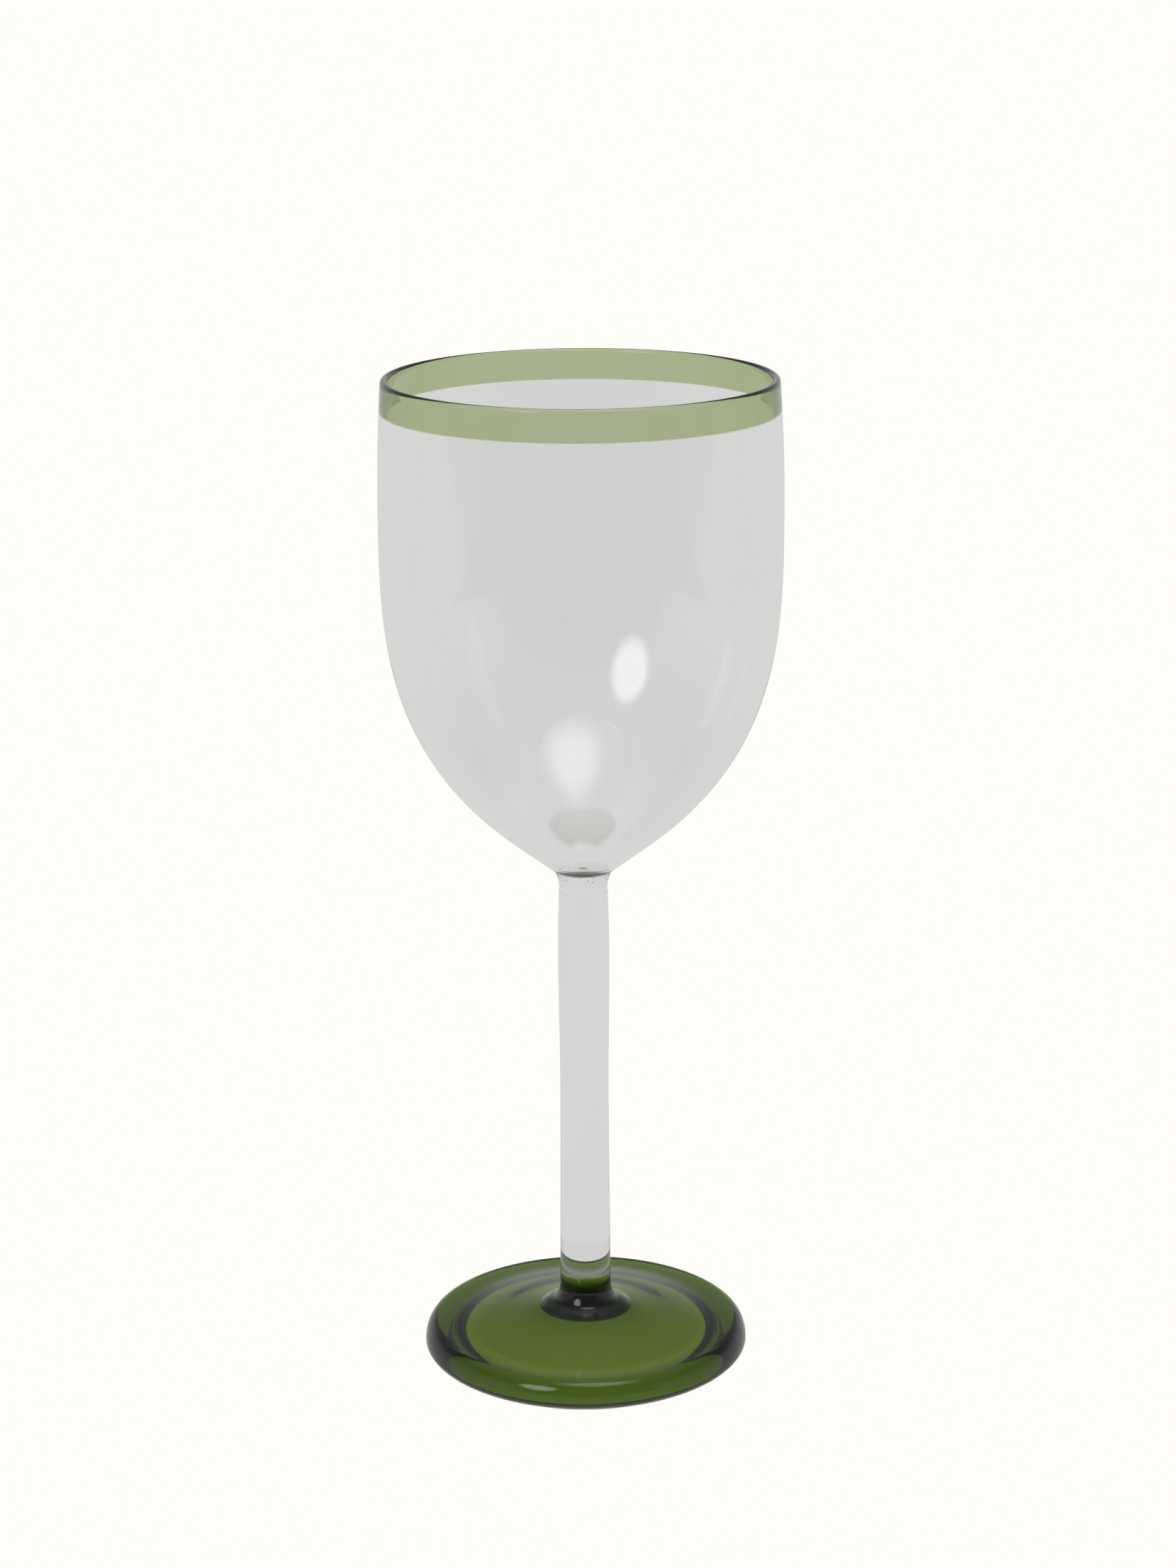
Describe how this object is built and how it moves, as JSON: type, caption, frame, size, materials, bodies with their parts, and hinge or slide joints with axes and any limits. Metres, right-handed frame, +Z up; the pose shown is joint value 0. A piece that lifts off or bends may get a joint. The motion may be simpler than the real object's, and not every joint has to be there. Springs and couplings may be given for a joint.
{
  "type": "wine glass",
  "caption": "Stemmed wine glass with a deep clear bowl, a thin green band at the lip, a straight solid clear stem and a thick rounded green disc foot.",
  "frame": {"origin": "centre of the foot's underside, on the surface the glass stands on", "axes": "+Z up along the stem's axis; the glass is round about +Z, so +X and +Y are free"},
  "size_m": [0.0856, 0.0856, 0.22],
  "materials": {
    "green_glass_thin": "polished transparent green glass, thin wall, fire-polished lip",
    "clear_glass": "polished transparent clear glass",
    "green_glass_thick": "polished transparent green glass, thick section"
  },
  "bodies": {
    "root": {"rim_band": "green_glass_thin", "bowl": "clear_glass", "weld_gather": "clear_glass", "stem": "clear_glass", "foot_hub": "green_glass_thick", "foot": "green_glass_thick"}
  },
  "joints": []
}
